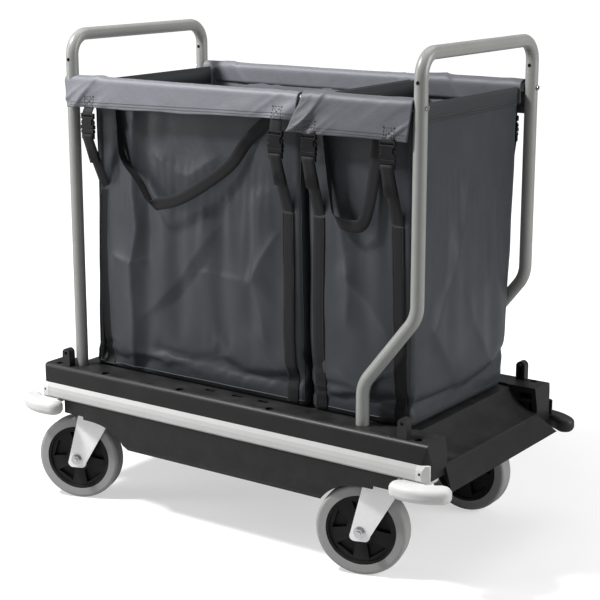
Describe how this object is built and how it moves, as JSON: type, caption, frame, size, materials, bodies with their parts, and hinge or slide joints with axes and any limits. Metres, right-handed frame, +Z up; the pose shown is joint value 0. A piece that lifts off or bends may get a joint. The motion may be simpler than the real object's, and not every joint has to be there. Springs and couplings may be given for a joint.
{
  "type": "housekeeping cart",
  "caption": "Housekeeping cart with a moulded deck on swivel castors, two tubular push handles and two lift-out fabric laundry bags hung on side rails.",
  "frame": {"origin": "on the floor, under the middle of the deck", "axes": "+X along the cart towards the end with the cranked handle legs, +Y across it towards the black bumper side, +Z up"},
  "size_m": [1.1674, 0.646, 1.107],
  "materials": {
    "deck_plastic": "moulded black plastic, fine grain",
    "lug_plastic": "moulded black plastic",
    "rail_grey": "light grey, satin",
    "bumper_black": "black, satin",
    "pad_grey": "light grey moulded elastomer",
    "dark_screw": "blackened",
    "tube_paint": "warm grey powder coat",
    "steel": "bright zinc plate",
    "plug_plastic": "moulded",
    "castor_zinc": "bright zinc, pale",
    "hub_plastic": "moulded black plastic",
    "tyre_grey": "non-marking grey rubber",
    "bush_plastic": "natural nylon",
    "bag_fabric": "coated woven nylon, dark slate",
    "webbing": "black woven webbing",
    "buckle_plastic": "black acetal"
  },
  "bodies": {
    "root": {"deck": "deck_plastic", "side_lugs": "lug_plastic", "bumper_rail_front": "rail_grey", "bumper_rail_rear": "bumper_black", "rail_caps_front": "rail_grey", "rail_caps_rear": "bumper_black", "cap_screws": "dark_screw", "corner_pads_front": "pad_grey", "corner_pads_rear": "bumper_black", "pad_screws": "steel", "handle_left": "tube_paint", "handle_right": "tube_paint", "post_plugs": "steel", "post_bolts": "steel", "bag_rail_front": "tube_paint", "bag_rail_rear": "tube_paint", "bag_rail_plugs": "plug_plastic", "bag_rail_screws": "steel", "castor_plates": "castor_zinc", "castor_bolts": "steel", "king_pins": "steel"},
    "swivel_fl": {"fork_fl": "castor_zinc", "swivel_balls_fl": "steel", "axle_fl": "steel", "axle_nut_fl": "steel"},
    "wheel_fl": {"hub_fl": "hub_plastic", "tyre_fl": "tyre_grey", "wheel_bush_fl": "bush_plastic"},
    "swivel_fr": {"fork_fr": "castor_zinc", "swivel_balls_fr": "steel", "axle_fr": "steel", "axle_nut_fr": "steel"},
    "wheel_fr": {"hub_fr": "hub_plastic", "tyre_fr": "tyre_grey", "wheel_bush_fr": "bush_plastic"},
    "swivel_rl": {"fork_rl": "castor_zinc", "swivel_balls_rl": "steel", "axle_rl": "steel", "axle_nut_rl": "steel"},
    "wheel_rl": {"hub_rl": "hub_plastic", "tyre_rl": "tyre_grey", "wheel_bush_rl": "bush_plastic"},
    "swivel_rr": {"fork_rr": "castor_zinc", "swivel_balls_rr": "steel", "axle_rr": "steel", "axle_nut_rr": "steel"},
    "wheel_rr": {"hub_rr": "hub_plastic", "tyre_rr": "tyre_grey", "wheel_bush_rr": "bush_plastic"},
    "large_bag_unit": {"large_bag": "bag_fabric", "large_bag_webbing": "webbing", "large_bag_buckles": "buckle_plastic", "large_bag_clips": "buckle_plastic", "large_bag_handles": "webbing"},
    "small_bag_unit": {"small_bag": "bag_fabric", "small_bag_webbing": "webbing", "small_bag_buckles": "buckle_plastic", "small_bag_clips": "buckle_plastic", "small_bag_handles": "webbing"}
  },
  "joints": [
    {"name": "castor_swivel_fl", "type": "hinge", "parent": "root", "child": "swivel_fl", "pos_m": [-0.4, -0.222, 0.24], "axis": [0, 0, 1], "continuous": true},
    {"name": "wheel_spin_fl", "type": "hinge", "parent": "swivel_fl", "child": "wheel_fl", "pos_m": [-0.44699, -0.2391, 0.1], "axis": [-0.342, 0.9397, 0], "continuous": true},
    {"name": "castor_swivel_fr", "type": "hinge", "parent": "root", "child": "swivel_fr", "pos_m": [0.4, -0.222, 0.24], "axis": [0, 0, 1], "continuous": true},
    {"name": "wheel_spin_fr", "type": "hinge", "parent": "swivel_fr", "child": "wheel_fr", "pos_m": [0.35219, -0.23662, 0.1], "axis": [-0.2924, 0.9563, 0], "continuous": true},
    {"name": "castor_swivel_rl", "type": "hinge", "parent": "root", "child": "swivel_rl", "pos_m": [-0.4, 0.222, 0.24], "axis": [0, 0, 1], "continuous": true},
    {"name": "wheel_spin_rl", "type": "hinge", "parent": "swivel_rl", "child": "wheel_rl", "pos_m": [-0.44973, 0.21677, 0.1], "axis": [-0.1045, 0.9945, 0], "continuous": true},
    {"name": "castor_swivel_rr", "type": "hinge", "parent": "root", "child": "swivel_rr", "pos_m": [0.4, 0.222, 0.24], "axis": [0, 0, 1], "continuous": true},
    {"name": "wheel_spin_rr", "type": "hinge", "parent": "swivel_rr", "child": "wheel_rr", "pos_m": [0.35003, 0.22026, 0.1], "axis": [-0.0349, 0.9994, 0], "continuous": true},
    {"name": "large_bag_lift", "type": "slide", "parent": "root", "child": "large_bag_unit", "axis": [0, 0, 1], "range_m": [0, 0.7], "deforming": ["large_bag_handles"]},
    {"name": "small_bag_lift", "type": "slide", "parent": "root", "child": "small_bag_unit", "axis": [0, 0, 1], "range_m": [0, 0.7], "deforming": ["small_bag_handles"]}
  ]
}
